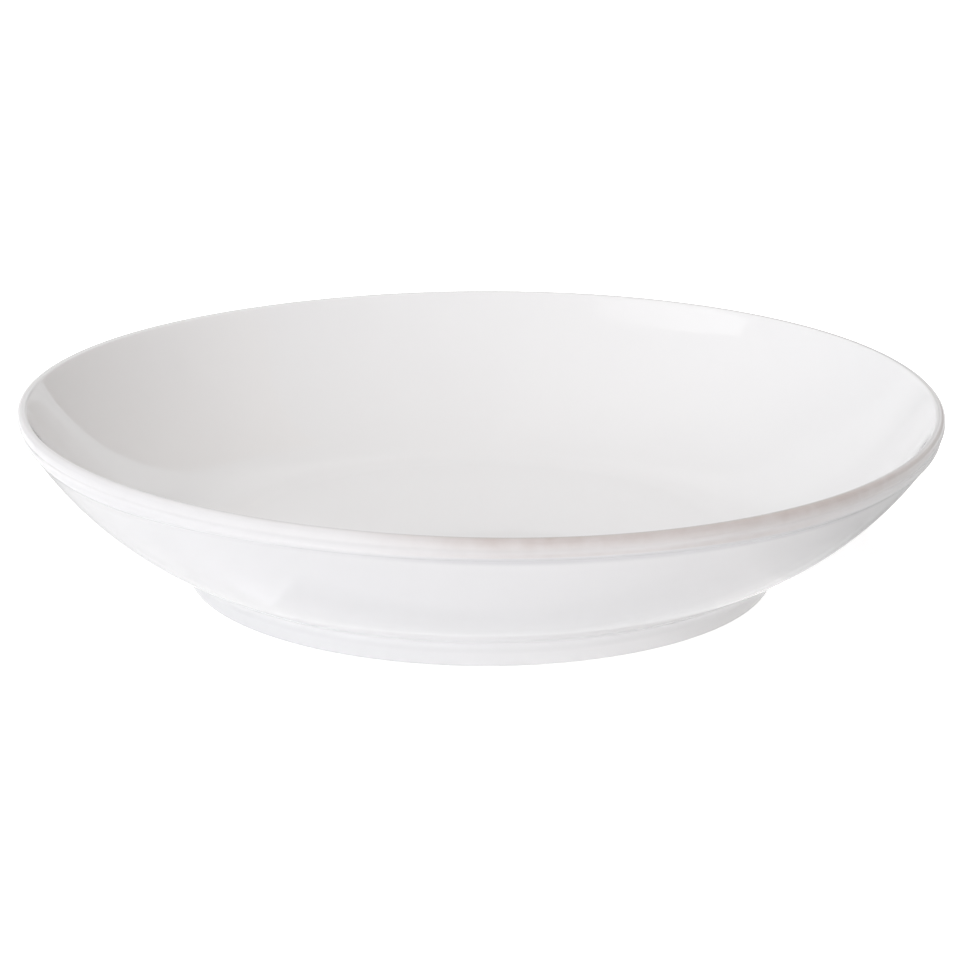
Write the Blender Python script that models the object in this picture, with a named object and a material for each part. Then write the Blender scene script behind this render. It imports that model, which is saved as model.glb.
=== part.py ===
"""A wide, shallow salad bowl of white glazed stoneware.

The bowl is one turned and fired body of clay, with its rim band and foot ring formed in one with it.
A coat of glaze runs over the inside, the lip and the outside and stops short of the table, so the foot
ring stands on bare clay. A second coat covers the underside within the foot ring.

Every piece is a profile of (radius, height) points turned about the Z axis. The sizes below are those
of the finished, glazed bowl, in metres. The clay lies inside them by the thickness of its coat.
"""

import math

import bpy

# Overall size: the glazed lip's widest radius, and the height of its top above the table
RIM_RADIUS = 0.1700
HEIGHT = 0.0672

# Rim band, from the top down: a rounded lip, a hollow, a raised ridge and the step under it.
# A drop is measured down from the lip's top, and an inset inwards from the lip's widest radius.
LIP_DROP = 0.0030
COVE_DROP = 0.0054
COVE_INSET = 0.0026
RIDGE_DROP = 0.0090
RIDGE_INSET = 0.0014
STEP_DROP = 0.0099
STEP_INSET = 0.0026
LIP_ROUND = 0.0011
LIP_INNER_ROUND = 0.0022
COVE_ROUND = 0.0026
RIDGE_ROUND = 0.0006
STEP_ROUND = 0.0014

# Wall, one arc outside and another inside, whose root on the floor is measured in from the foot's outside,
# and the floor that it blends into
WALL_CURVE = 0.1260
WALL_THICKNESS = 0.0060
WALL_ROOT_INSET = 0.0067
FLOOR_THICKNESS = 0.0070
FLOOR_BLEND = 0.0650

# Foot ring: its glazed radius at the table, the flare up to the wall, its width and the well inside it
FOOT_RADIUS = 0.1087
FOOT_FLARE = 0.0014
FOOT_HEIGHT = 0.0088
FOOT_WIDTH = 0.0085
FOOT_FILLET = 0.0024
FOOT_EDGE_ROUND = 0.0003
WELL_DEPTH = 0.0056
WELL_DRAFT = 0.0010
WELL_FILLET = 0.0028

# Glaze: its thickness, the gap that keeps it a solid of its own, and the bare height above the table
GLAZE_THICKNESS = 0.0005
BOND_GAP = 0.0003
GLAZE_STOP = 0.0005

# Fineness of the facets, and how close points have to be to become one when a profile is turned
SEGMENTS = 48
WALL_STEPS = 6
BLEND_STEPS = 3
CORNER_TURN = math.radians(32)
MERGE_DISTANCE = 1e-6

# Colours as linear red, green and blue, and roughness
CLAY_COLOUR = (0.50, 0.36, 0.24)
CLAY_ROUGHNESS = 0.85
GLAZE_COLOUR = (0.86, 0.84, 0.81)
GLAZE_ROUGHNESS = 0.12

COAT = GLAZE_THICKNESS + BOND_GAP
FLOOR_LEVEL = WELL_DEPTH + FLOOR_THICKNESS
WELL_RADIUS = FOOT_RADIUS - FOOT_WIDTH


def unit(start, end):
    """Direction from one point to another."""
    length = math.dist(start, end)
    return (end[0] - start[0]) / length, (end[1] - start[1]) / length


def arc(centre, radius, start_angle, end_angle, steps):
    """Points of an arc, both ends included."""
    angles = [start_angle + (end_angle - start_angle) * i / steps for i in range(steps + 1)]
    return [(centre[0] + radius * math.cos(a), centre[1] + radius * math.sin(a)) for a in angles]


def angle_from(centre, point):
    """Angle of a point seen from a centre."""
    return math.atan2(point[1] - centre[1], point[0] - centre[0])


def beside(outline, distance):
    """The outline moved to its left by a distance, each corner staying a corner.

    On an outline that runs from the floor over the lip and down the outside, the clay is on the right,
    so a positive distance grows out of the clay and a negative one goes into it.
    """
    moved = []
    for i, point in enumerate(outline):
        ahead = unit(point, outline[i + 1]) if i + 1 < len(outline) else None
        behind = unit(outline[i - 1], point) if i > 0 else ahead
        ahead = ahead or behind
        normals = (-behind[1] - ahead[1], behind[0] + ahead[0])
        share = 2 * distance / (normals[0] ** 2 + normals[1] ** 2)
        moved.append((point[0] + normals[0] * share, point[1] + normals[1] * share))
    return moved


def rounded(corner, before, after, radius):
    """Arc that rounds a corner, no longer than half of either side that meets there."""
    to_before, to_after = unit(corner, before), unit(corner, after)
    half = math.acos(to_before[0] * to_after[0] + to_before[1] * to_after[1]) / 2
    room = min(math.dist(corner, before), math.dist(corner, after)) / 2
    reach = min(radius / math.tan(half), room)
    radius = reach * math.tan(half)
    middle = unit((0, 0), (to_before[0] + to_after[0], to_before[1] + to_after[1]))
    centre = [corner[k] + middle[k] * radius / math.sin(half) for k in (0, 1)]
    start = angle_from(centre, [corner[k] + to_before[k] * reach for k in (0, 1)])
    end = angle_from(centre, [corner[k] + to_after[k] * reach for k in (0, 1)])
    turn = (end - start + math.pi) % math.tau - math.pi
    return arc(centre, radius, start, start + turn, math.ceil(abs(turn) / CORNER_TURN))


def arc_centre(start, end, radius):
    """Centre of an arc that rises outwards from start to end, above and inside the chord between them."""
    along = unit(start, end)
    rise = math.sqrt(radius**2 - (math.dist(start, end) / 2) ** 2)
    middle = [(start[k] + end[k]) / 2 for k in (0, 1)]
    return middle[0] - along[1] * rise, middle[1] + along[0] * rise


def inside_wall(foot, step, outside_centre):
    """Inside of the bowl: flat floor, blend arc and wall arc, from the axis to the height of the lip.

    The wall's arc starts at its root, where it would meet the floor if there were no blend, and passes
    through the shoulder, which lies one wall thickness inside the step.
    """
    radius = WALL_CURVE - WALL_THICKNESS
    root = (foot[0] - WALL_ROOT_INSET, FLOOR_LEVEL)
    inwards = unit(step, outside_centre)
    shoulder = [step[k] + inwards[k] * WALL_THICKNESS for k in (0, 1)]
    centre = arc_centre(root, shoulder, radius)
    slope = math.acos((centre[1] - FLOOR_LEVEL - FLOOR_BLEND) / (radius - FLOOR_BLEND))
    floor_edge = centre[0] + (radius - FLOOR_BLEND) * math.sin(slope)
    level = -math.pi / 2
    top = -math.asin((centre[1] - HEIGHT) / radius)
    blend = arc((floor_edge, FLOOR_LEVEL + FLOOR_BLEND), FLOOR_BLEND, level, level + slope, BLEND_STEPS)
    wall = arc(centre, radius, level + slope, top, WALL_STEPS)
    return [(0, FLOOR_LEVEL)] + blend + wall[1:]


def bowl_corners():
    """Corners of the finished bowl as (point, rounding), from the floor's centre round to the underside's.

    The foot's bottom lies one coat below the table here, because the bare clay there keeps its level.
    Also returned are the numbers of corners that the outside coat covers, and of bare ones after them.
    """
    foot = (FOOT_RADIUS + FOOT_FLARE, FOOT_HEIGHT)
    step = (RIM_RADIUS - STEP_INSET, HEIGHT - STEP_DROP)
    centre = arc_centre(foot, step, WALL_CURVE)
    inside = [(point, 0) for point in inside_wall(foot, step, centre)]
    inside[-1] = (inside[-1][0], LIP_INNER_ROUND)
    rim = [
        ((RIM_RADIUS, HEIGHT), LIP_ROUND),
        ((RIM_RADIUS, HEIGHT - LIP_DROP), LIP_ROUND),
        ((RIM_RADIUS - COVE_INSET, HEIGHT - COVE_DROP), COVE_ROUND),
        ((RIM_RADIUS - RIDGE_INSET, HEIGHT - RIDGE_DROP), RIDGE_ROUND),
        (step, STEP_ROUND),
    ]
    wall = arc(centre, WALL_CURVE, angle_from(centre, step), angle_from(centre, foot), WALL_STEPS)
    outside = [(point, 0) for point in wall[1:-1]] + [(foot, FOOT_FILLET)]
    bare_share = GLAZE_STOP / FOOT_HEIGHT
    coat_end = (FOOT_RADIUS + FOOT_FLARE * bare_share, GLAZE_STOP)
    bare = [((FOOT_RADIUS, -COAT), FOOT_EDGE_ROUND), ((WELL_RADIUS, -COAT), FOOT_EDGE_ROUND)]
    well_end = (WELL_RADIUS - WELL_DRAFT * GLAZE_STOP / WELL_DEPTH, GLAZE_STOP)
    well = [(well_end, 0), ((WELL_RADIUS - WELL_DRAFT, WELL_DEPTH), WELL_FILLET), ((0, WELL_DEPTH), 0)]
    coated = inside + rim + outside + [(coat_end, 0)]
    return coated + bare + well, len(coated), len(bare)


def joined(runs):
    """Runs of points as one outline, with one point where two roundings meet."""
    points = sum(runs, [])
    apart = [math.dist(a, b) > MERGE_DISTANCE for a, b in zip(points, points[1:])]
    return points[:1] + [point for point, kept in zip(points[1:], apart) if kept]


def clay_outlines():
    """The clay's outline in three runs: under the outside coat, bare foot, and under the underside coat."""
    corners, coated, bare = bowl_corners()
    points = beside([point for point, _ in corners], -COAT)
    runs = [[points[0]]]
    for i in range(1, len(points) - 1):
        radius = corners[i][1]
        runs.append(rounded(points[i], points[i - 1], points[i + 1], radius) if radius else [points[i]])
    runs.append([points[-1]])
    end = coated + bare
    return [joined(part) for part in (runs[:coated], runs[coated:end], runs[end:])]


def coat_over(outline):
    """Profile of a glaze coat over a run of clay: its face on the clay's side and its outer face."""
    return beside(outline, BOND_GAP), beside(outline, COAT)


def stoneware_material(name, colour, roughness):
    """Principled material of one of the bowl's pieces."""
    material = bpy.data.materials.new(name)
    material.use_nodes = True
    shader = material.node_tree.nodes["Principled BSDF"]
    shader.inputs["Base Color"].default_value = (*colour, 1)
    shader.inputs["Roughness"].default_value = roughness
    shader.inputs["Metallic"].default_value = 0
    return material


def turned(name, profile, material, parent):
    """A piece turned about Z from a profile that starts and ends on the axis."""
    mesh = bpy.data.meshes.new(name)
    edges = [(i, i + 1) for i in range(len(profile) - 1)]
    mesh.from_pydata([(radius, 0, height) for radius, height in profile], edges, [])
    mesh.materials.append(material)
    piece = bpy.data.objects.new(name, mesh)
    piece.parent = parent
    bpy.context.scene.collection.objects.link(piece)
    turning = piece.modifiers.new("turning", "SCREW")
    turning.axis = "Z"
    turning.angle = math.tau
    turning.steps = SEGMENTS
    turning.render_steps = SEGMENTS
    turning.use_merge_vertices = True
    turning.merge_threshold = MERGE_DISTANCE
    turning.use_smooth_shade = True
    return piece


def main():
    for leftover in list(bpy.data.objects):
        bpy.data.objects.remove(leftover)
    bowl = bpy.data.objects.new("salad_bowl", None)
    bpy.context.scene.collection.objects.link(bowl)

    clay = stoneware_material("buff_stoneware", CLAY_COLOUR, CLAY_ROUGHNESS)
    glaze = stoneware_material("white_glaze", GLAZE_COLOUR, GLAZE_ROUGHNESS)

    under_coat, bare_foot, under_well = clay_outlines()
    turned("clay_body", under_coat + bare_foot + under_well, clay, bowl)
    clay_side, face = coat_over(under_coat)
    turned("glaze_coat", face + clay_side[::-1], glaze, bowl)
    clay_side, face = coat_over(under_well)
    turned("underside_glaze", clay_side[::-1] + face, glaze, bowl)


main()
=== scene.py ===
"""Looks of a wide, shallow salad bowl of white glazed stoneware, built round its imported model.

The bowl is three pieces: the fired clay, the coat of white glaze over its inside, lip and outside, and the
coat on its underside within the foot ring. Each piece is a profile of radius and height that is carried
round the bowl's axis, with the slight unevenness that throwing and glazing leave. Lengths are in metres.
"""

import logging
import math
from dataclasses import dataclass
from enum import Enum

import bpy
import numpy as np
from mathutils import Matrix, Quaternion, Vector


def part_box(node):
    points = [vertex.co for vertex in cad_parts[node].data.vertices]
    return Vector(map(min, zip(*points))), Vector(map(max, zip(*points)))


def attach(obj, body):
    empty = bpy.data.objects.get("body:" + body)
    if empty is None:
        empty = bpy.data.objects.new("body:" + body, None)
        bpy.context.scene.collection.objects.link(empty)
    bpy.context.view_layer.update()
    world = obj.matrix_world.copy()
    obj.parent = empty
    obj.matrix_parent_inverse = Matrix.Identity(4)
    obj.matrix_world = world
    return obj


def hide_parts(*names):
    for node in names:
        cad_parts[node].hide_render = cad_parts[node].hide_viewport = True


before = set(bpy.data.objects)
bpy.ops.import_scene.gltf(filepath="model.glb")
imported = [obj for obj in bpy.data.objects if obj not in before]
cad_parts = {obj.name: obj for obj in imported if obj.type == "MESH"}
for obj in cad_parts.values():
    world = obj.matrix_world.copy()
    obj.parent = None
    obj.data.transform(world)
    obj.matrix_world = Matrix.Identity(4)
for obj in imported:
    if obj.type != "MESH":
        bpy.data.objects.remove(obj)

log = logging.getLogger("salad_bowl")

MM = 0.001
TURNS = 440
FILM_AND_SHADE = "glaze_film_and_shade"
TONE_AND_FOOT_LIGHT = "glaze_tone_and_painted_foot_light"
GATHER_AND_PAINTED_LIGHT = "glaze_gather_and_painted_light"


class Slot(Enum):
    """Names of the record's material slots."""

    CLAY = "bare_stoneware"
    GLAZE = "white_glaze"


def linear(colour: str) -> tuple[float, float, float, float]:
    """Turns an sRGB hex colour into linear red, green, blue and alpha.

    Args:
        colour: a colour such as "#f2f0ec".

    Returns:
        The linear colour, opaque.
    """
    shares = np.array([int(colour[i : i + 2], 16) for i in (1, 3, 5)]) / 255
    low, high = shares / 12.92, ((shares + 0.055) / 1.055) ** 2.4
    red, green, blue = np.where(shares <= 0.04045, low, high)
    return float(red), float(green), float(blue), 1.0


def add_node(tree: bpy.types.NodeTree, kind: str, inputs: dict | None = None, **settings) -> bpy.types.Node:
    """Adds a node with its settings, constants and links.

    Args:
        tree: the node tree that gets the node.
        kind: the node's identifier.
        inputs: socket names or numbers, each with a constant or an output socket to link.
        settings: the node's own properties.

    Returns:
        The new node.
    """
    node = tree.nodes.new(kind)
    for name, value in settings.items():
        setattr(node, name, value)
    for name, value in (inputs or {}).items():
        if isinstance(value, bpy.types.NodeSocket):
            tree.links.new(value, node.inputs[name])
        else:
            node.inputs[name].default_value = value
    return node


def arc(centre: np.ndarray, radius: float, start: float, end: float, count: int) -> np.ndarray:
    """Points of an arc: centre + radius (cos a, sin a) for evenly spaced angles a, both ends included.

    Args:
        centre: the arc's centre.
        radius: its radius.
        start: its first angle.
        end: its last angle.
        count: the number of steps.

    Returns:
        Points of radius and height.
    """
    angles = np.linspace(start, end, count + 1)
    return centre + radius * np.stack((np.cos(angles), np.sin(angles)), axis=1)


def arc_centre(start: np.ndarray, end: np.ndarray, radius: float) -> np.ndarray:
    """Centre of an arc that rises outwards from start to end: half the chord, then square to it.

    Args:
        start: the lower, inner end.
        end: the upper, outer end.
        radius: the arc's radius.

    Returns:
        The centre, above and inside the chord.
    """
    chord = end - start
    length = np.linalg.norm(chord)
    rise = math.sqrt(radius**2 - (length / 2) ** 2)
    return (start + end) / 2 + np.array((-chord[1], chord[0])) / length * rise


def angle_of(centre: np.ndarray, point: np.ndarray) -> float:
    """Angle of a point seen from a centre."""
    return math.atan2(point[1] - centre[1], point[0] - centre[0])


def rounded(
    corner: np.ndarray, before: np.ndarray, after: np.ndarray, radius: float, steps: int
) -> np.ndarray:
    """Arc that rounds a corner, tangent to both of its sides.

    Args:
        corner: the corner.
        before: a point on the side that leads to it.
        after: a point on the side that leaves it.
        radius: the rounding's radius.
        steps: the number of steps.

    Returns:
        Points of the arc.
    """
    back = (before - corner) / np.linalg.norm(before - corner)
    ahead = (after - corner) / np.linalg.norm(after - corner)
    half = math.acos(float(back @ ahead)) / 2
    reach = radius / math.tan(half)
    centre = corner + (back + ahead) / np.linalg.norm(back + ahead) * radius / math.sin(half)
    start = angle_of(centre, corner + back * reach)
    turn = (angle_of(centre, corner + ahead * reach) - start + math.pi) % math.tau - math.pi
    return arc(centre, radius, start, start + turn, steps)


def outline(corners: list[tuple[np.ndarray, float, int]]) -> np.ndarray:
    """Outline through corners, each with its rounding and that rounding's steps.

    Args:
        corners: points with radius and steps. A radius of 0 keeps the point.

    Returns:
        Points of radius and height.
    """
    points = [point for point, _, _ in corners]
    runs = [
        rounded(point, points[i - 1], points[i + 1], radius, steps) if radius else point[None]
        for i, (point, radius, steps) in enumerate(corners)
    ]
    return np.concatenate(runs)


def sides(profile: np.ndarray) -> np.ndarray:
    """Unit directions square to a profile: its direction of travel, a quarter turn to the left, to the air.

    Args:
        profile: points of radius and height.

    Returns:
        A direction for each point.
    """
    along = np.gradient(profile, axis=0)
    along /= np.linalg.norm(along, axis=1, keepdims=True)
    return np.stack((-along[:, 1], along[:, 0]), axis=1)


def lengths(profile: np.ndarray) -> np.ndarray:
    """Distance of each point of a profile from its start, along the profile."""
    return np.concatenate(([0.0], np.cumsum(np.linalg.norm(np.diff(profile, axis=0), axis=1))))


def eased(value: np.ndarray, low: float, high: float) -> np.ndarray:
    """Smooth step: 0 at low and before, 1 at high and after, and 3 t t - 2 t t t between."""
    share = np.clip((value - low) / (high - low), 0, 1)
    return share * share * (3 - 2 * share)


def turned(name: str, radii: np.ndarray, heights: np.ndarray) -> bpy.types.Object:
    """Closed piece on a grid: point (i, j) is (radius cos turn_j, radius sin turn_j, height).

    Args:
        name: the piece's name.
        radii: radius of each ring at each turn; the first and last rings lie on the axis.
        heights: height of each ring at each turn.

    Returns:
        The object, smooth, at the origin, with the two poles as single points at the end.
    """
    rings, turns = radii.shape
    turn = np.linspace(0, math.tau, turns, endpoint=False)
    grid = np.stack((radii * np.cos(turn), radii * np.sin(turn), heights), axis=-1)
    points = np.concatenate((grid[1:-1].reshape(-1, 3), grid[[0, -1], 0]))
    ids = np.arange((rings - 2) * turns).reshape(rings - 2, turns)
    beside = np.roll(ids, -1, axis=1)
    quads = np.stack((ids[:-1], ids[1:], beside[1:], beside[:-1]), axis=-1).reshape(-1, 4)
    first = np.full(turns, ids.size)
    fans = np.concatenate(
        (
            np.stack((first, ids[0], beside[0]), axis=-1),
            np.stack((ids[-1], first + 1, beside[-1]), axis=-1),
        )
    )
    mesh = bpy.data.meshes.new(name)
    mesh.from_pydata(points, [], quads.tolist() + fans.tolist())
    mesh.shade_smooth()
    piece = bpy.data.objects.new(name, mesh)
    bpy.context.scene.collection.objects.link(piece)
    return piece


def per_point(values: np.ndarray) -> np.ndarray:
    """Values of a ring grid in the order of a turned piece's points."""
    return np.concatenate((values[1:-1].ravel(), values[[0, -1], 0])).astype(np.float32)


@dataclass(frozen=True)
class Waves:
    """Slow unevenness round the bowl: a sum of cosines of whole numbers of waves, with seeded phases."""

    seed: int
    reach: float
    fewest: int
    most: int

    def at(self, turn: np.ndarray) -> np.ndarray:
        """Sum over k of cos(k turn + phase) / k, scaled so that it stays within the reach.

        Args:
            turn: angles round the axis.

        Returns:
            Offsets from -reach to reach.
        """
        count = np.arange(self.fewest, self.most + 1)
        phase = np.random.default_rng(self.seed).uniform(0, math.tau, count.size)
        share = 1 / count
        return self.reach * (share @ np.cos(count[:, None] * turn + phase[:, None])) / share.sum()


@dataclass(frozen=True)
class BowlForm:
    """Outline of the finished bowl.

    A drop is measured down from the lip's top, and an inset inwards from the lip's widest radius.
    """

    rim_radius: float
    height: float
    lip_drop: float = 0.0036
    lip_round: float = 0.0019
    lip_inner_round: float = 0.0016
    cove_drop: float = 0.0056
    cove_inset: float = 0.0016
    cove_round: float = 0.0023
    ridge_drop: float = 0.0078
    ridge_inset: float = 0.0011
    ridge_round: float = 0.0014
    step_drop: float = 0.0086
    step_inset: float = 0.0026
    step_round: float = 0.0006
    wall_curve: float = 0.1260
    wall_thickness: float = 0.0051
    wall_root_inset: float = 0.0067
    floor_level: float = 0.0126
    floor_blend: float = 0.0650
    foot_radius: float = 0.1087
    foot_flare: float = 0.0014
    foot_height: float = 0.0088
    foot_width: float = 0.0085
    foot_fillet: float = 0.0074
    foot_edge_round: float = 0.0004
    well_depth: float = 0.0056
    well_draft: float = 0.0010
    well_fillet: float = 0.0020
    glaze_stop: float = 0.0001
    glaze_edge_round: float = 0.00008
    glaze_thickness: float = 0.00045
    clay_gap: float = 0.00005
    warp: float = 0.00095
    warp_turn: float = math.radians(32.7)
    lip_waves: Waves = Waves(seed=3, reach=0.00014, fewest=3, most=9)
    ridge_waves: Waves = Waves(seed=3944, reach=0.0011, fewest=3, most=8)
    wave_depth: float = 0.022
    wander_height: float = 0.0018
    band_width: float = 0.0045
    floor_rings: int = 12
    blend_steps: int = 14
    inner_wall_steps: int = 22
    outer_wall_steps: int = 24

    def sag(self, profile: np.ndarray, turn: np.ndarray) -> np.ndarray:
        """How far the rim dips at each point and turn.

        Firing leaves the rim out of flat, as warp (cos 2(turn - warp turn) - 1), which fades to nothing at
        the foot. Small waves at the lip fade within the wave depth, and the ridge wanders a little by
        itself.

        Args:
            profile: points of radius and height.
            turn: angles round the axis.

        Returns:
            Drops in height, a row for each point.
        """
        height = profile[:, 1]
        bend = eased(height, self.foot_height, self.height)
        lip = eased(height, self.height - self.wave_depth, self.height)
        middle = self.height - (self.ridge_drop + self.step_drop) / 2
        near = np.exp(-(((height - middle) / self.wander_height) ** 2))
        near *= profile[:, 0] > self.rim_radius - self.band_width
        oval = self.warp * (np.cos(2 * (turn - self.warp_turn)) - 1)
        waves = self.lip_waves.at(turn) - self.lip_waves.reach
        return bend[:, None] * oval + lip[:, None] * waves + near[:, None] * self.ridge_waves.at(turn)

    def foot_corner(self) -> np.ndarray:
        """Where the wall's outside meets the foot ring."""
        return np.array((self.foot_radius + self.foot_flare, self.foot_height))

    def step_corner(self) -> np.ndarray:
        """Where the wall's outside meets the step under the rim band."""
        return np.array((self.rim_radius - self.step_inset, self.height - self.step_drop))

    def inside(self) -> np.ndarray:
        """Floor, blend arc and wall arc, from the axis up to the height of the lip.

        The wall's arc would meet the floor at its root and passes one wall thickness inside the step.

        Returns:
            Points of radius and height.
        """
        radius = self.wall_curve - self.wall_thickness
        step = self.step_corner()
        outer = arc_centre(self.foot_corner(), step, self.wall_curve)
        shoulder = step + (outer - step) / self.wall_curve * self.wall_thickness
        root = np.array((self.foot_corner()[0] - self.wall_root_inset, self.floor_level))
        centre = arc_centre(root, shoulder, radius)
        slope = math.acos((centre[1] - self.floor_level - self.floor_blend) / (radius - self.floor_blend))
        edge = centre[0] + (radius - self.floor_blend) * math.sin(slope)
        level = -math.pi / 2
        top = -math.asin((centre[1] - self.height) / radius)
        across = np.linspace(0, edge, self.floor_rings + 1)[:-1]
        floor = np.stack((across, np.full(self.floor_rings, self.floor_level)), axis=1)
        middle = np.array((edge, self.floor_level + self.floor_blend))
        blend = arc(middle, self.floor_blend, level, level + slope, self.blend_steps)
        wall = arc(centre, radius, level + slope, top, self.inner_wall_steps)
        return np.concatenate((floor, blend, wall[1:]))

    def rim(self) -> list[tuple[np.ndarray, float, int]]:
        """Corners of the rim band from the lip's outer top down to the step.

        Returns:
            Points with radius and steps.
        """
        places = (
            (0.0, 0.0, self.lip_round, 12),
            (0.0, self.lip_drop, self.lip_round, 8),
            (self.cove_inset, self.cove_drop, self.cove_round, 10),
            (self.ridge_inset, self.ridge_drop, self.ridge_round, 12),
            (self.step_inset, self.step_drop, self.step_round, 5),
        )
        return [
            (np.array((self.rim_radius - inset, self.height - drop)), radius, steps)
            for inset, drop, radius, steps in places
        ]

    def outside(self) -> np.ndarray:
        """Wall arc below the step, down to just above the foot ring.

        Returns:
            Points of radius and height.
        """
        foot, step = self.foot_corner(), self.step_corner()
        centre = arc_centre(foot, step, self.wall_curve)
        top, bottom = angle_of(centre, step), angle_of(centre, foot)
        return arc(centre, self.wall_curve, top, bottom, self.outer_wall_steps)[1:-2]

    def coat(self) -> np.ndarray:
        """Face of the glaze from the middle of the floor over the lip to its rolled edge above the table.

        Returns:
            Points of radius and height.
        """
        inside = self.inside()
        stop_radius = self.foot_radius + self.foot_flare * self.glaze_stop / self.foot_height
        stop = np.array((stop_radius, self.glaze_stop))
        corners = [(point, 0.0, 0) for point in inside[:-1]]
        corners.append((inside[-1], self.lip_inner_round, 10))
        corners += self.rim()
        corners += [(point, 0.0, 0) for point in self.outside()]
        corners.append((self.foot_corner(), self.foot_fillet, 9))
        halfway = (self.foot_corner() + stop) / 2
        corners.append((halfway, 0.0, 0))
        corners.append((stop, self.glaze_edge_round, 4))
        corners.append((stop - np.array((self.glaze_thickness, 0.0)), 0.0, 0))
        return outline(corners)

    def well(self) -> np.ndarray:
        """Face of the underside's glaze from its edge on the foot ring up to the middle of the well.

        Returns:
            Points of radius and height.
        """
        radius = self.foot_radius - self.foot_width
        stop = np.array((radius - self.well_draft * self.glaze_stop / self.well_depth, self.glaze_stop))
        ceiling = np.array((radius - self.well_draft, self.well_depth))
        middle = np.linspace(ceiling[0] - 2 * self.well_fillet, 0, 10)
        corners = [
            (stop + np.array((self.glaze_thickness, 0.0)), 0.0, 0),
            (stop, self.glaze_edge_round, 4),
            (ceiling, self.well_fillet, 8),
        ]
        corners += [(np.array((r, self.well_depth)), 0.0, 0) for r in middle]
        return outline(corners)


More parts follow.
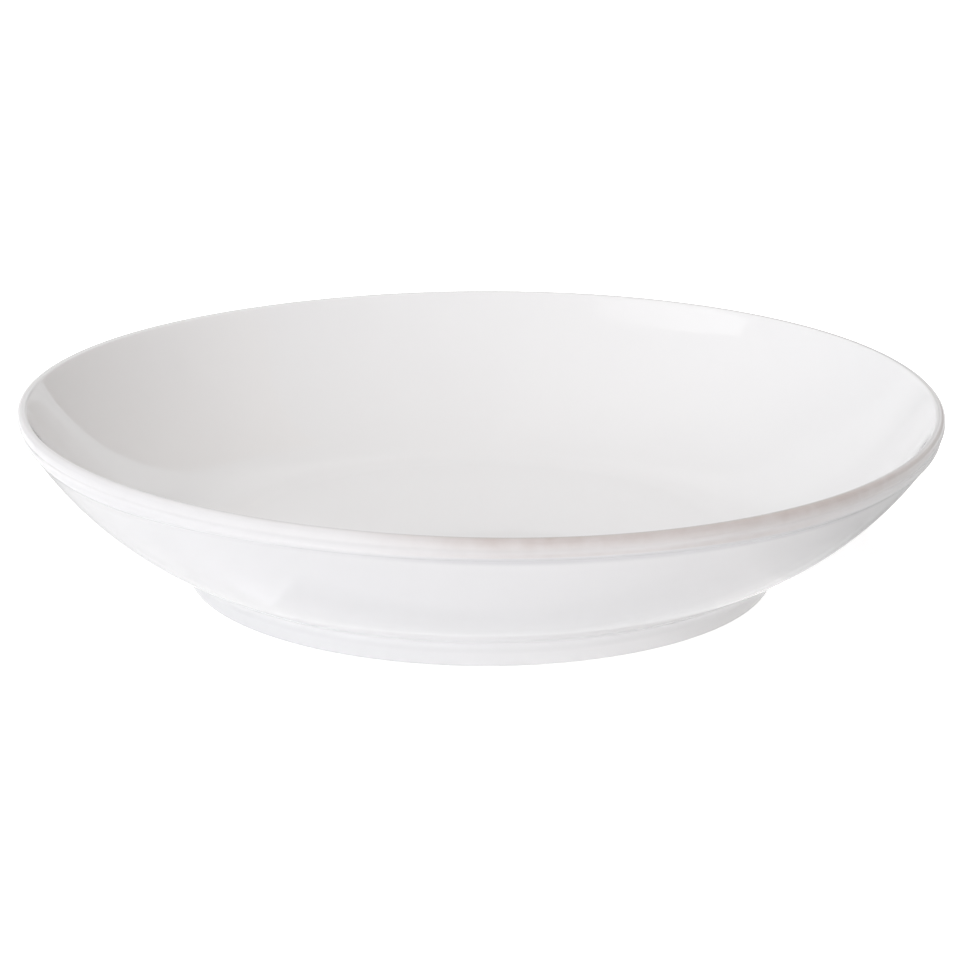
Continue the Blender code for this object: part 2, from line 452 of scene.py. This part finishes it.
@dataclass(frozen=True)
class WhiteGlaze:
    """Stoneware glaze, poured and fired glossy: an opaque white glass.

    It is glassy and nearly flat, with a faint orange peel. Where it drew thinner over a sharp edge the buff
    clay shows through it in a broken pinkish line.
    The lip's outer side and the band below it are darker and pinker, partly as clay showing through the
    glaze and partly as painted shade.
    Along the seam under the ridge it is greyer, partly as glaze pooling there and partly as painted shade in
    the crease.
    On the ridge it is a little darker, as painted shade over its highlight.
    Above the foot it is whitest, as painted light that offsets the shade there, with glaze gathering in the
    crook as only part of it.
    """

    # The foot ring also takes the inside tone, as painted light against the shade under the bowl.
    inside: str = "#f3f3f4"
    outside: str = "#e8e8ea"
    # Whitest tone: painted light above the foot, partly glaze gathering in the crook.
    thick_and_painted_light: str = "#fdfdfe"
    # Pinkish grey: clay through the glaze, and painted shade on the lip's outer side, the band and the
    # ridge.
    thin_and_shade: str = "#d0c8c6"
    bare: str = "#b3a298"
    # Greyer tone along the seam under the ridge: glaze pooling and painted shade in the crease.
    pooled_and_shaded: str = "#d9d9dc"
    roughness: float = 0.02
    index: float = 1.52

    def material(self) -> bpy.types.Material:
        """Makes the material.

        Returns:
            The material.
        """
        material = bpy.data.materials.new("poured_white_stoneware_glaze")
        material.use_nodes = True
        tree = material.node_tree
        tree.nodes.clear()
        place = add_node(tree, "ShaderNodeTexCoord").outputs["Object"]
        # The film attribute also carries the painted shade of the lip's outer side, the band, the ridge and
        # the seam.
        film = add_node(tree, "ShaderNodeAttribute", attribute_name=FILM_AND_SHADE).outputs["Fac"]

        # Flow marks about 7 mm long, with finer ones inside them, break up the edge of the thin film
        marks = add_node(tree, "ShaderNodeTexNoise", {"Vector": place, "Scale": 1 / (7 * MM), "Detail": 4.0})
        patchy = add_node(
            tree,
            "ShaderNodeMath",
            {0: marks.outputs["Fac"], 1: 0.8, 2: 0.6},
            operation="MULTIPLY_ADD",
        )
        loss = add_node(tree, "ShaderNodeMath", {0: 1.0, 1: film}, operation="SUBTRACT", use_clamp=True)
        uneven = add_node(
            tree,
            "ShaderNodeMath",
            {0: loss.outputs[0], 1: patchy.outputs[0]},
            operation="MULTIPLY",
        )

        # The inside takes the whiter tone and the outside the greyer one, drifting slowly over about 45 mm;
        # the foot ring takes the whiter tone too, as painted light that offsets the shade under the bowl
        poured = add_node(tree, "ShaderNodeAttribute", attribute_name=TONE_AND_FOOT_LIGHT).outputs["Fac"]
        drift = add_node(
            tree,
            "ShaderNodeTexNoise",
            {"Vector": place, "Scale": 1 / (45 * MM), "Detail": 2.0},
        )
        depth = add_node(
            tree,
            "ShaderNodeMath",
            {0: drift.outputs["Fac"], 1: 0.3, 2: poured},
            operation="MULTIPLY_ADD",
        )
        tone = add_node(
            tree,
            "ShaderNodeMix",
            {0: depth.outputs[0], 6: linear(self.outside), 7: linear(self.inside)},
            data_type="RGBA",
        )

        # Film from 1.1 times the usual thickness, along the seam under the ridge, turns greyer: partly glaze
        # pooling, partly painted shade in the crease. The whitest tone lies over it: painted light above the
        # foot, partly glaze gathering in the crook
        seam_shade_share = add_node(
            tree,
            "ShaderNodeMapRange",
            {"Value": film, "From Min": 1.1, "From Max": 1.8},
            interpolation_type="SMOOTHSTEP",
        )
        seam_tone = add_node(
            tree,
            "ShaderNodeMix",
            {0: seam_shade_share.outputs[0], 6: tone.outputs[2], 7: linear(self.pooled_and_shaded)},
            data_type="RGBA",
        )
        # Painted light: the whitest tone above the foot offsets the shade there.
        gathered_and_painted_light = add_node(tree, "ShaderNodeAttribute", attribute_name=GATHER_AND_PAINTED_LIGHT).outputs["Fac"]
        full = add_node(
            tree,
            "ShaderNodeMix",
            {0: gathered_and_painted_light, 6: seam_tone.outputs[2], 7: linear(self.thick_and_painted_light)},
            data_type="RGBA",
        )

        # Lost film shows first as a pinkish grey veil, partly clay through the glaze and partly painted
        # shade on the lip's outer side, the band and the ridge, and, past 0.6 of its thickness, as bare clay
        veil_and_shade_share = add_node(
            tree,
            "ShaderNodeMapRange",
            {"Value": uneven.outputs[0], "From Min": 0.0, "From Max": 0.60},
        )
        veiled_and_shaded = add_node(
            tree,
            "ShaderNodeMix",
            {0: veil_and_shade_share.outputs[0], 6: full.outputs[2], 7: linear(self.thin_and_shade)},
            data_type="RGBA",
        )
        breaking = add_node(
            tree,
            "ShaderNodeMapRange",
            {"Value": uneven.outputs[0], "From Min": 0.60, "From Max": 1.0},
            interpolation_type="SMOOTHSTEP",
        )
        colour = add_node(
            tree,
            "ShaderNodeMix",
            {0: breaking.outputs[0], 6: veiled_and_shaded.outputs[2], 7: linear(self.bare)},
            data_type="RGBA",
        )

        # Orange peel, about 3 mm from crest to crest, and a gloss that varies over about 12 mm
        peel = add_node(tree, "ShaderNodeTexNoise", {"Vector": place, "Scale": 1 / (3 * MM), "Detail": 2.0})
        bump = add_node(
            tree,
            "ShaderNodeBump",
            {"Height": peel.outputs["Fac"], "Strength": 0.03, "Distance": 0.05 * MM},
        )
        sheen = add_node(
            tree,
            "ShaderNodeTexNoise",
            {"Vector": place, "Scale": 1 / (12 * MM), "Detail": 3.0},
        )
        gloss = add_node(
            tree,
            "ShaderNodeMapRange",
            {"Value": sheen.outputs["Fac"], "To Min": self.roughness * 0.7, "To Max": self.roughness * 1.3},
        )
        shader = add_node(
            tree,
            "ShaderNodeBsdfPrincipled",
            {
                "Base Color": colour.outputs[2],
                "Roughness": gloss.outputs[0],
                "IOR": self.index,
                "Normal": bump.outputs[0],
            },
        )
        add_node(tree, "ShaderNodeOutputMaterial", {"Surface": shader.outputs[0]})
        return material


@dataclass(frozen=True)
class BareClay:
    """Buff stoneware, turned, wiped clean and fired bare: matt, with darker and paler grit."""

    body: str = "#cdb9a3"
    dark: str = "#a48a72"
    pale: str = "#e0d2c1"
    roughness: float = 0.85

    def material(self) -> bpy.types.Material:
        """Makes the material.

        Returns:
            The material.
        """
        material = bpy.data.materials.new("wiped_buff_stoneware")
        material.use_nodes = True
        tree = material.node_tree
        tree.nodes.clear()
        place = add_node(tree, "ShaderNodeTexCoord").outputs["Object"]

        # Clouds of about 9 mm, and grit of about 0.7 mm as pale and dark specks
        cloud = add_node(tree, "ShaderNodeTexNoise", {"Vector": place, "Scale": 1 / (9 * MM), "Detail": 4.0})
        tone = add_node(
            tree,
            "ShaderNodeMix",
            {0: cloud.outputs["Fac"], 6: linear(self.body), 7: linear(self.pale)},
            data_type="RGBA",
        )
        grit = add_node(
            tree,
            "ShaderNodeTexNoise",
            {"Vector": place, "Scale": 1 / (0.7 * MM), "Detail": 3.0},
        )
        specks = add_node(
            tree,
            "ShaderNodeMapRange",
            {"Value": grit.outputs["Fac"], "From Min": 0.55, "From Max": 0.72},
            interpolation_type="SMOOTHSTEP",
        )
        colour = add_node(
            tree,
            "ShaderNodeMix",
            {0: specks.outputs[0], 6: tone.outputs[2], 7: linear(self.dark)},
            data_type="RGBA",
        )
        bump = add_node(
            tree,
            "ShaderNodeBump",
            {"Height": grit.outputs["Fac"], "Strength": 0.6, "Distance": 0.15 * MM},
        )
        shader = add_node(
            tree,
            "ShaderNodeBsdfPrincipled",
            {"Base Color": colour.outputs[2], "Roughness": self.roughness, "Normal": bump.outputs[0]},
        )
        add_node(tree, "ShaderNodeOutputMaterial", {"Surface": shader.outputs[0]})
        return material


@dataclass(frozen=True)
class GlazeCoat:
    """The glaze over the inside, the lip and the outside, uneven as poured glaze is.

    A pair of lengths gives where a share is nothing and where it is whole. It is a height above the table
    for the foot and the crook above it, and a drop below the lip's top for the rim.
    """

    form: BowlForm
    flow: float = 0.0012
    draw: float = 0.0017
    film_waves: Waves = Waves(seed=11, reach=0.30, fewest=4, most=22)
    # The lip's darker, pinker tint is strongest about this turn, at the front right, partly as painted
    # shade.
    thinnest_and_shaded: float = math.radians(-72)
    thin_and_shade_reach: float = math.radians(16)
    edge_waves: Waves = Waves(seed=5, reach=0.00003, fewest=9, most=60)
    ring_depth: float = 0.000012
    ring_spacing: float = 0.0075
    inside_share: float = 0.85
    # Painted light: the foot ring takes the inside's whiter tone, fading out from 7 to 12 mm, to offset the
    # shade under the bowl.
    foot_light_share: float = 0.95
    foot_fade: tuple[float, float] = (0.012, 0.007)
    # Painted light: a whiter band from 6 to 21 mm above the table, full from 9 to 16 mm, offsets the shade
    # in the crook above the foot; glaze gathering there is only part of it.
    crook_top: tuple[float, float] = (0.021, 0.016)
    crook_bottom: tuple[float, float] = (0.006, 0.009)
    # The lip's and the band's veils are partly clay through the glaze and partly painted shade.
    lip_veil_and_shade: tuple[float, float] = (0.0046, 0.0008)
    band_veil_and_shade: tuple[float, float] = (0.0080, 0.0030)
    lip_crest: tuple[float, float] = (0.0007, 0.0002)
    seam_above: float = 0.0016
    seam_below: float = 0.0008
    ridge_rise: float = 0.0009
    ridge_width: float = 0.0013
    ridge_edge: float = 0.0003

    def film(self, profile: np.ndarray) -> np.ndarray:
        """Thickness of the glaze along its face, where 1 is its usual thickness.

        Glaze draws back from convex edges and pools in hollows: the film is 1 less the profile's convexity,
        evened out over the flow length, times the draw length.

        Args:
            profile: points of radius and height.

        Returns:
            The thickness at each point.
        """
        along = np.gradient(profile, axis=0)
        heading = np.unwrap(np.arctan2(along[:, 1], along[:, 0]))
        length = lengths(profile)
        convexity = -np.gradient(heading, length)
        even = np.arange(0, length[-1], self.flow / 12)
        window = np.exp(-0.5 * (np.arange(-36, 37) / 12) ** 2)
        smooth = np.convolve(np.interp(even, length, convexity), window / window.sum(), mode="same")
        return np.clip(1 - self.draw * np.interp(length, even, smooth), 0.1, 1.8)

    def build(self) -> bpy.types.Object:
        """Carries the face round the axis and closes it with the side that lies on the clay.

        The face stands proud by its film's thickness and by faint throwing rings, which are a sine along it.

        Returns:
            The coat.
        """
        form = self.form
        face = form.coat()
        film = self.film(face)
        turn = np.linspace(0, math.tau, TURNS, endpoint=False)
        length = lengths(face)
        side = sides(face)

        rings = self.ring_depth * np.sin(math.tau * length[:, None] / self.ring_spacing + turn)
        rings *= eased(face[:, 0], 0.004, 0.02)[:, None]
        proud = (film[:, None] - 1) * form.glaze_thickness * 0.6 + rings
        proud = np.clip(proud, -0.5 * form.glaze_thickness, 0.5 * form.glaze_thickness)
        proud *= eased(face[:, 1], 0.002, 0.005)[:, None]
        sag = form.sag(face, turn)
        end = eased(face[:, 1], 0.004, form.glaze_stop) * (face[:, 0] > form.foot_radius - 0.002)
        drip = end[:, None] * (self.edge_waves.at(turn) + self.edge_waves.reach)

        radii = face[:, :1] + side[:, :1] * proud
        heights = face[:, 1:] + side[:, 1:] * proud + sag + drip
        under = face - side * form.glaze_thickness
        back = np.arange(len(face) - 8, -1, -4)
        back[-1] = 0
        radii = np.concatenate((radii, np.repeat(under[back, :1], TURNS, axis=1)))
        heights = np.concatenate((heights, under[back, 1:] + sag[back]))
        radii[[0, -1]] = 0
        piece = turned("white_glaze_coat", radii, heights)

        inside = np.arange(len(face)) < face[:, 1].argmax()
        level = face[:, 1]
        # Painted light on the foot ring, with the inside's whiter tone.
        full = np.where(inside, 1.0, self.foot_light_share * eased(level, *self.foot_fade))
        # Painted light: the whitening of the crook above the foot.
        crook = ~inside * eased(level, *self.crook_top) * eased(level, *self.crook_bottom)
        even = np.ones(TURNS)
        looks = {
            FILM_AND_SHADE: self.shown_film_and_shade(face, turn),
            TONE_AND_FOOT_LIGHT: np.outer(self.inside_share * full, even),
            GATHER_AND_PAINTED_LIGHT: np.outer(crook, even),
        }
        for name, values in looks.items():
            values = np.concatenate((values, np.ones((len(back), TURNS))))
            piece.data.attributes.new(name, "FLOAT", "POINT").data.foreach_set("value", per_point(values))
        return piece

    def shown_film_and_shade(self, face: np.ndarray, turn: np.ndarray) -> np.ndarray:
        """Film that shows, with painted shade: less on the lip's outer side, its crest and the ridge, more
        along the step.

        It is 1, plus a bell curve along the step, less the lip's veiling and crest, less a bell curve along
        the ridge. All are strongest about the turn where the film is least, at the front right, and fade on
        either side of it.
        The lip's veiling is partly clay through the glaze and partly painted shade on the lip's outer side
        and the band below; the step's bell curve is partly glaze pooling and partly painted shade in the
        crease; the ridge's bell curve is painted shade that dims its highlight.

        Args:
            face: the coat's face.
            turn: angles round the axis.

        Returns:
            The film's thickness at each point and turn, where 1 is usual.
        """
        form = self.form
        below = form.height - face[:, 1]
        outer = eased(face[:, 0], form.rim_radius - 0.0030, form.rim_radius - 0.0020)
        # Painted shade, with clay through the glaze: the lip's outer side and the band below it.
        veil_and_shade = outer * (0.5 * eased(below, *self.lip_veil_and_shade) + 0.55 * eased(below, *self.band_veil_and_shade))
        crest = outer * eased(below, *self.lip_crest)
        # Painted shade: the seam along the step under the ridge is greyer, partly as glaze pooling.
        under = below - form.step_drop
        rim = face[:, 0] > form.rim_radius - 0.006
        upper = below < form.ridge_drop - self.ridge_edge
        reach = np.where(under < 0, self.seam_above, self.seam_below)
        seam = np.exp(-((under / reach) ** 2)) * rim * ~upper
        rise = below - form.ridge_drop + self.ridge_rise
        ridge = np.exp(-((rise / self.ridge_width) ** 2)) * outer * upper
        side = (turn - self.thinnest_and_shaded + math.pi) % math.tau - math.pi
        away = np.where(side > 0, 0.6 * side, -side)
        share = 0.14 + 0.86 * eased(away, self.thin_and_shade_reach + 0.35, self.thin_and_shade_reach - 0.10)
        share = np.clip(share * (1 + self.film_waves.at(turn)), 0.04, 1.3)
        # Painted shade: the ridge is dimmed where its highlight falls.
        ridge_shade = 0.28 * share * eased(side, 0.55, 0.25)
        loss = 0.56 * veil_and_shade + 0.08 * crest
        return 1 + seam[:, None] * (0.30 + 0.60 * share) - loss[:, None] * share - ridge[:, None] * ridge_shade

    def dress(self, piece: bpy.types.Object, finish: bpy.types.Material) -> None:
        """Gives the coat its finish and body, and hides the imported coat.

        Args:
            piece: the coat.
            finish: its material.
        """
        piece.data.materials.append(finish)
        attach(piece, "root")
        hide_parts("glaze_coat")


@dataclass(frozen=True)
class UndersideGlaze:
    """The glaze on the underside, within the foot ring."""

    form: BowlForm
    edge_waves: Waves = Waves(seed=8, reach=0.0002, fewest=7, most=50)

    def build(self) -> bpy.types.Object:
        """Carries the well's face round the axis and closes it with the side that lies on the clay.

        Returns:
            The coat.
        """
        form = self.form
        face = form.well()
        under = (face - sides(face) * form.glaze_thickness)[:5:-1]
        profile = np.concatenate((under, face))
        turn = np.linspace(0, math.tau, TURNS, endpoint=False)
        end = eased(profile[:, 1], 0.003, form.glaze_stop)
        drip = end[:, None] * (self.edge_waves.at(turn) + self.edge_waves.reach)
        radii = np.repeat(profile[:, :1], TURNS, axis=1)
        heights = profile[:, 1:] + drip
        radii[[0, -1]] = 0
        piece = turned("underside_glaze_coat", radii, heights)
        for name, value in ((FILM_AND_SHADE, 1.0), (TONE_AND_FOOT_LIGHT, 0.0), (GATHER_AND_PAINTED_LIGHT, 0.0)):
            values = per_point(np.full(radii.shape, value))
            piece.data.attributes.new(name, "FLOAT", "POINT").data.foreach_set("value", values)
        return piece

    def dress(self, piece: bpy.types.Object, finish: bpy.types.Material) -> None:
        """Gives the coat its finish and body, and hides the imported coat.

        Args:
            piece: the coat.
            finish: its material.
        """
        piece.data.materials.append(finish)
        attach(piece, "root")
        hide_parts("underside_glaze")


@dataclass(frozen=True)
class ClayBody:
    """The fired clay under the glaze, bare on the bottom of its foot ring."""

    form: BowlForm

    def build(self) -> bpy.types.Object:
        """Carries the clay's outline round the axis: under the coat, round the foot and under the well.

        Returns:
            The clay.
        """
        form = self.form
        inset = form.glaze_thickness + form.clay_gap
        coat, well = form.coat(), form.well()
        under_coat = (coat - sides(coat) * inset)[:-8]
        under_well = (well - sides(well) * inset)[7:]
        outer, inner = under_coat[-1], under_well[0]
        foot = outline(
            [
                (outer, 0.0, 0),
                (np.array((form.foot_radius - inset, 0.0)), form.foot_edge_round, 6),
                (np.array((form.foot_radius - form.foot_width / 2, 0.0)), 0.0, 0),
                (np.array((form.foot_radius - form.foot_width + inset, 0.0)), form.foot_edge_round, 6),
                (inner, 0.0, 0),
            ]
        )
        profile = np.concatenate((under_coat[:-1:3], foot, under_well[1:]))
        turn = np.linspace(0, math.tau, TURNS, endpoint=False)
        radii = np.repeat(profile[:, :1], TURNS, axis=1)
        heights = profile[:, 1:] + form.sag(profile, turn)
        radii[[0, -1]] = 0
        return turned("stoneware_clay_body", radii, heights)

    def dress(self, piece: bpy.types.Object, finish: bpy.types.Material) -> None:
        """Gives the clay its finish and body, and hides the imported clay.

        Args:
            piece: the clay.
            finish: its material.
        """
        piece.data.materials.append(finish)
        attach(piece, "root")
        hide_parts("clay_body")


def area_lamp(name: str, side: float, watts: float, colour: str) -> bpy.types.Object:
    """Square lamp, not placed yet, that shows neither to the camera nor in a reflection.

    Args:
        name: the lamp's name.
        side: the length of its side.
        watts: its power.
        colour: its sRGB hex colour.

    Returns:
        The lamp's object.
    """
    lamp = bpy.data.lights.new(name, "AREA")
    lamp.shape = "SQUARE"
    lamp.size = side
    lamp.energy = watts
    lamp.color = linear(colour)[:3]
    holder = bpy.data.objects.new(name, lamp)
    holder.visible_camera = False
    holder.visible_glossy = False
    bpy.context.scene.collection.objects.link(holder)
    return holder


def shown_rays(tree: bpy.types.NodeTree) -> bpy.types.NodeSocket:
    """Share that is 1 for camera, glossy and transmission rays and 0 for others: the largest of the three.

    Args:
        tree: the node tree of a floor or a world.

    Returns:
        The socket that gives the share.
    """
    rays = add_node(tree, "ShaderNodeLightPath").outputs
    seen = add_node(
        tree,
        "ShaderNodeMath",
        {0: rays["Is Camera Ray"], 1: rays["Is Glossy Ray"]},
        operation="MAXIMUM",
    )
    shown = add_node(
        tree,
        "ShaderNodeMath",
        {0: seen.outputs[0], 1: rays["Is Transmission Ray"]},
        operation="MAXIMUM",
    )
    return shown.outputs[0]


@dataclass(frozen=True)
class Softbox:
    """A square studio lamp that points at the bowl and leaves no reflection of itself in the glaze.

    The azimuth runs from the camera's side towards the right of the picture.
    """

    name: str
    azimuth: float
    elevation: float
    watts: float
    colour: str
    distance: float = 2.0
    side: float = 0.9

    def build(self) -> bpy.types.Object:
        """Makes the lamp and points it at the foot of the bowl's axis.

        Returns:
            The lamp's object.
        """
        round_bowl, up = math.radians(self.azimuth), math.radians(self.elevation)
        level = math.cos(up)
        away = Vector((level * math.sin(round_bowl), -level * math.cos(round_bowl), math.sin(up)))
        holder = area_lamp(self.name, self.side, self.watts, self.colour)
        holder.location = away * self.distance
        holder.rotation_euler = away.to_track_quat("Z", "Y").to_euler()
        return holder


@dataclass(frozen=True)
class LitTable:
    """The square of the table under the bowl that is lit from below, as opal acrylic is."""

    side: float = 0.5
    watts: float = 0.055
    colour: str = "#fbfcff"
    clearance: float = 0.0001

    def build(self) -> bpy.types.Object:
        """Makes the lamp just above the floor, shining up.

        Returns:
            The lamp's object.
        """
        holder = area_lamp("lit_table", self.side, self.watts, self.colour)
        holder.location = (0.0, 0.0, self.clearance)
        holder.rotation_euler = (math.pi, 0.0, 0.0)
        return holder


@dataclass(frozen=True)
class Card:
    """A flat card of the studio that shows in the glaze's reflections and casts no light or shadow.

    Each of its four corners has a level of its own, where 1 is white, and the card is graded between them.
    """

    name: str
    corners: tuple[tuple[float, float, float], ...]
    levels: tuple[float, float, float, float]
    colour: str = "#ffffff"

    def build(self) -> bpy.types.Object:
        """Makes the card and its graded glow.

        Returns:
            The card.
        """
        mesh = bpy.data.meshes.new(self.name)
        mesh.from_pydata(self.corners, [], [(0, 1, 2, 3)])
        mesh.attributes.new("grade", "FLOAT", "POINT").data.foreach_set("value", self.levels)
        material = bpy.data.materials.new(self.name)
        material.use_nodes = True
        tree = material.node_tree
        tree.nodes.clear()
        level = add_node(tree, "ShaderNodeAttribute", attribute_name="grade").outputs["Fac"]
        glow = add_node(tree, "ShaderNodeEmission", {"Color": linear(self.colour), "Strength": level})
        add_node(tree, "ShaderNodeOutputMaterial", {"Surface": glow.outputs[0]})
        mesh.materials.append(material)
        card = bpy.data.objects.new(self.name, mesh)
        card.visible_camera = False
        card.visible_diffuse = False
        card.visible_shadow = False
        bpy.context.scene.collection.objects.link(card)
        return card


@dataclass(frozen=True)
class Studio:
    """Camera, white floor, soft lamps and reflection cards round the bowl.

    The cards stand in for what the glaze mirrors: a strip light, darker walls, and the table's light and
    shade.
    """

    elevation: float = math.radians(16.907)
    distance: float = 1.18136
    target: tuple[float, float, float] = (-0.00031, 0.0, 0.03372)
    roll: float = math.radians(0.374)
    lens: float = 119.0
    sensor: float = 36.0
    floor_reach: float = 6.0
    floor_colour: str = "#f4f4f4"
    floor_lift: float = 0.60
    ambient: float = 0.25
    ambient_colour: str = "#fefdfd"
    lamps: tuple[Softbox | LitTable, ...] = (
        Softbox("left_softbox", -120, 25, 6.0, "#fbfcff"),
        Softbox("high_left_softbox", -60, 40, 9.3, "#ffffff"),
        Softbox("low_front_softbox", -30, 10, 11.7, "#fbfcff", side=0.6),
        Softbox("right_softbox", 36, 25, 9.0, "#fffaf6"),
        Softbox("back_softbox", -176, 72, 11.8, "#fffcf9"),
        LitTable(),
    )
    cards: tuple[Card, ...] = (
        Card(
            "strip_light",
            ((-0.86, -0.91, 1.56), (-1.56, -0.02, 1.26), (-1.47, 0.08, 1.35), (-0.78, -0.81, 1.66)),
            (1.4, 2.0, 2.0, 1.4),
        ),
        Card(
            "dark_back",
            ((-1.3, 1.9, 0.2), (0.45, 1.9, 0.2), (0.45, 1.9, 1.6), (-1.3, 1.9, 1.6)),
            (1.0, 0.2, 1.0, 1.0),
        ),
        Card(
            "dark_right_back",
            ((0.71, 1.79, 0.2), (2.2, -0.6, 0.2), (2.2, -0.6, 2.4), (0.60, 1.65, 2.4)),
            (0.35, 1.0, 1.0, 1.0),
            "#f0e4da",
        ),
        Card(
            "dark_table_near",
            ((0.115, -0.25, 0.001), (0.16, -0.25, 0.001), (0.16, 0.35, 0.001), (0.115, 0.35, 0.001)),
            (1.0, 0.5, 0.5, 1.0),
        ),
        Card(
            "dark_table_far",
            ((0.16, -0.25, 0.001), (0.60, -0.25, 0.001), (0.60, 0.35, 0.001), (0.16, 0.35, 0.001)),
            (0.5, 1.2, 1.2, 0.5),
        ),
        Card(
            "grey_table",
            ((-0.24, 0.08, 0.001), (-0.16, -0.1, 0.001), (-0.075, -0.09, 0.001), (-0.115, 0.08, 0.001)),
            (0.8, 1.35, 1.15, 0.45),
        ),
        Card(
            "grey_table_back",
            ((-0.30, 0.3, 0.001), (-0.24, 0.08, 0.001), (-0.115, 0.08, 0.001), (-0.115, 0.3, 0.001)),
            (1.35, 0.8, 0.45, 1.35),
        ),
        Card(
            "white_table",
            (
                (-0.075, -0.135, 0.0008),
                (0.075, -0.135, 0.0008),
                (0.095, -0.05, 0.0008),
                (-0.08, -0.05, 0.0008),
            ),
            (1.15, 1.15, 1.15, 1.15),
        ),
    )

    def camera(self) -> bpy.types.Object:
        """Makes the camera at the photographed height, looking level across and down at the bowl.

        Returns:
            The camera.
        """
        data = bpy.data.cameras.new("camera")
        data.lens = self.lens
        data.sensor_width = self.sensor
        camera = bpy.data.objects.new("camera", data)
        back = Vector((0.0, -math.cos(self.elevation), math.sin(self.elevation)))
        camera.location = Vector(self.target) + back * self.distance
        level = back.to_track_quat("Z", "Y")
        camera.rotation_euler = (level @ Quaternion((0.0, 0.0, 1.0), self.roll)).to_euler()
        bpy.context.scene.collection.objects.link(camera)
        bpy.context.scene.camera = camera
        return camera

    def floor(self) -> bpy.types.Object:
        """Makes the white floor, whose material keeps the bowl's shadow.

        Returns:
            The floor.
        """
        reach = self.floor_reach
        corners = np.array(((-reach, -reach, 0), (reach, -reach, 0), (reach, reach, 0), (-reach, reach, 0)))
        mesh = bpy.data.meshes.new("floor")
        mesh.from_pydata(corners, [], [(0, 1, 2, 3)])
        material = bpy.data.materials.new("white_paper_sweep")
        material.use_nodes = True
        tree = material.node_tree
        tree.nodes.clear()
        paper = add_node(tree, "ShaderNodeBsdfDiffuse", {"Color": linear(self.floor_colour)})
        lift = add_node(
            tree,
            "ShaderNodeMath",
            {0: shown_rays(tree), 1: self.floor_lift},
            operation="MULTIPLY",
        )
        glow = add_node(tree, "ShaderNodeEmission", {"Strength": lift.outputs[0]})
        both = add_node(tree, "ShaderNodeAddShader", {0: paper.outputs[0], 1: glow.outputs[0]})
        add_node(tree, "ShaderNodeOutputMaterial", {"Surface": both.outputs[0]})
        mesh.materials.append(material)
        floor = bpy.data.objects.new("floor", mesh)
        bpy.context.scene.collection.objects.link(floor)
        return floor

    def surroundings(self) -> bpy.types.World:
        """Makes the plain light from all round, which shows as white behind the bowl.

        Returns:
            The world.
        """
        world = bpy.data.worlds.new("studio")
        world.use_nodes = True
        tree = world.node_tree
        tree.nodes.clear()
        fill = add_node(
            tree,
            "ShaderNodeBackground",
            {"Color": linear(self.ambient_colour), "Strength": self.ambient},
        )
        white = add_node(tree, "ShaderNodeBackground", {"Strength": 1.0})
        both = add_node(
            tree,
            "ShaderNodeMixShader",
            {0: shown_rays(tree), 1: fill.outputs[0], 2: white.outputs[0]},
        )
        add_node(tree, "ShaderNodeOutputWorld", {"Surface": both.outputs[0]})
        bpy.context.scene.world = world
        return world

    def build(self) -> None:
        """Sets up the view, the floor, the surroundings, the lamps and the cards."""
        bpy.context.scene.view_settings.view_transform = "Standard"
        self.camera()
        self.floor()
        self.surroundings()
        for light in self.lamps + self.cards:
            light.build()


def main() -> None:
    """Builds the bowl's pieces and the studio."""
    logging.basicConfig(level=logging.INFO, format="%(name)s: %(message)s")
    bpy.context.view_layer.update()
    _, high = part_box("glaze_coat")
    form = BowlForm(rim_radius=high.x, height=high.z)
    glaze = WhiteGlaze().material()
    clay = BareClay().material()
    for maker, finish in ((ClayBody(form), clay), (GlazeCoat(form), glaze), (UndersideGlaze(form), glaze)):
        piece = maker.build()
        maker.dress(piece, finish)
        log.info("%s: %d faces", piece.name, len(piece.data.polygons))
    Studio().build()


if __name__ == "__main__":
    main()
